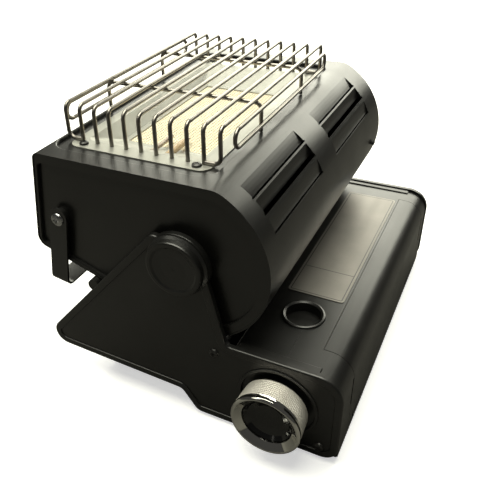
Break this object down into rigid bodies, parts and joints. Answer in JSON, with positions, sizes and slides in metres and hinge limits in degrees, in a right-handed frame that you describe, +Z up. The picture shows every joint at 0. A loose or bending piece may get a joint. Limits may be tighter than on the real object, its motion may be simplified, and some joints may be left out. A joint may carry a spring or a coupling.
{
  "type": "portable gas heater",
  "caption": "Portable gas heater and stove: a drum-shaped burner head with a wire guard tilts between end plates over a base with a lidded cartridge bay, control knob and handle.",
  "frame": {"origin": "middle of the footprint, on the ground that the rubber feet stand on", "axes": "+X along the tilt axis towards the control knob, +Y towards the cartridge bay, +Z up"},
  "size_m": [0.3164, 0.2498, 0.2258],
  "materials": {
    "black_sheet": "satin heat-proof paint",
    "black_moulding": "fine moulded satin",
    "black_strap": "satin paint",
    "gloss_black": "glossy",
    "chrome": "polished plating",
    "bright_sheet": "bright rolled sheet",
    "plain_steel": "zinc plated",
    "screw_steel": "plated",
    "black_screw": "blackened steel",
    "cast_alloy": "as cast",
    "brass": "machined",
    "copper": "drawn tube",
    "burner_ceramic": "porous honeycomb",
    "white_ceramic": "glazed",
    "probe_steel": "heat tinted",
    "fibre_gasket": "ceramic fibre",
    "rubber": "soft",
    "nylon": "natural nylon",
    "igniter_plastic": "moulded",
    "label_metal": "brushed",
    "can_paint": "plain lacquer"
  },
  "bodies": {
    "base": {"end_plate_near": "black_moulding", "end_plate_far": "black_moulding", "gas_pivot": "brass", "far_pivot": "plain_steel", "pivot_nuts": "plain_steel", "friction_washers": "nylon", "pivot_cap_near": "black_moulding", "pivot_cap_far": "black_moulding", "gas_jet": "brass", "plate_screws": "black_screw", "tie_rods": "plain_steel", "base_cover": "black_sheet", "lid_ledge": "black_sheet", "bottom_tray": "black_sheet", "short_feet": "rubber", "tall_feet": "rubber", "label_plate": "label_metal", "port_cup": "black_moulding", "lid_hinge_pins": "plain_steel", "bay_bulkhead": "plain_steel", "regulator": "cast_alloy", "regulator_seal": "rubber", "locating_tab": "plain_steel", "piezo_igniter": "igniter_plastic", "gas_pipe": "copper", "cartridge_cradle": "plain_steel", "knob_escutcheon": "black_moulding"},
    "head": {"head_wrap": "black_sheet", "head_bottom_cover": "black_sheet", "head_end_near": "black_sheet", "head_end_far": "black_sheet", "drum_bumper": "rubber", "reflector_tray": "bright_sheet", "burner_box": "plain_steel", "ceramic_plaque": "burner_ceramic", "plaque_gasket": "fibre_gasket", "plaque_frame": "bright_sheet", "mixing_tube": "cast_alloy", "burner_straps": "plain_steel", "spark_insulator": "white_ceramic", "spark_wire": "probe_steel", "flame_sensor": "probe_steel", "sensor_bracket": "plain_steel", "guard_wires": "chrome", "guard_cross_bars": "chrome", "guard_side_loops": "chrome", "reflector_screws": "black_screw", "pivot_bush_near": "nylon", "pivot_bush_far": "nylon", "handle_screws": "screw_steel"},
    "handle": {"carry_handle": "black_strap"},
    "lid": {"bay_lid": "black_sheet"},
    "cartridge": {"cartridge_can": "can_paint", "cartridge_collar": "can_paint", "cartridge_valve": "brass"},
    "knob": {"knob_ring": "chrome", "knob_core": "gloss_black", "knob_spindle": "plain_steel"}
  },
  "joints": [
    {"name": "head_tilt", "type": "hinge", "parent": "base", "child": "head", "pos_m": [-0.0082, 0.0041, 0.1406], "axis": [-1, 0, 0], "range_deg": [0, 90]},
    {"name": "handle_swing", "type": "hinge", "parent": "head", "child": "handle", "pos_m": [-0.0082, -0.0989, 0.1491], "axis": [-1, 0, 0], "range_deg": [-9, 138]},
    {"name": "lid_hinge", "type": "hinge", "parent": "base", "child": "lid", "pos_m": [-0.0082, 0.1223, 0.011], "axis": [-1, 0, 0], "range_deg": [0, 95]},
    {"name": "cartridge_slide", "type": "slide", "parent": "base", "child": "cartridge", "axis": [-1, 0, 0], "range_m": [0, 0.006]},
    {"name": "knob_turn", "type": "hinge", "parent": "base", "child": "knob", "pos_m": [0.1418, 0.0784, 0.0424], "axis": [1, 0, 0], "range_deg": [0, 110]}
  ]
}
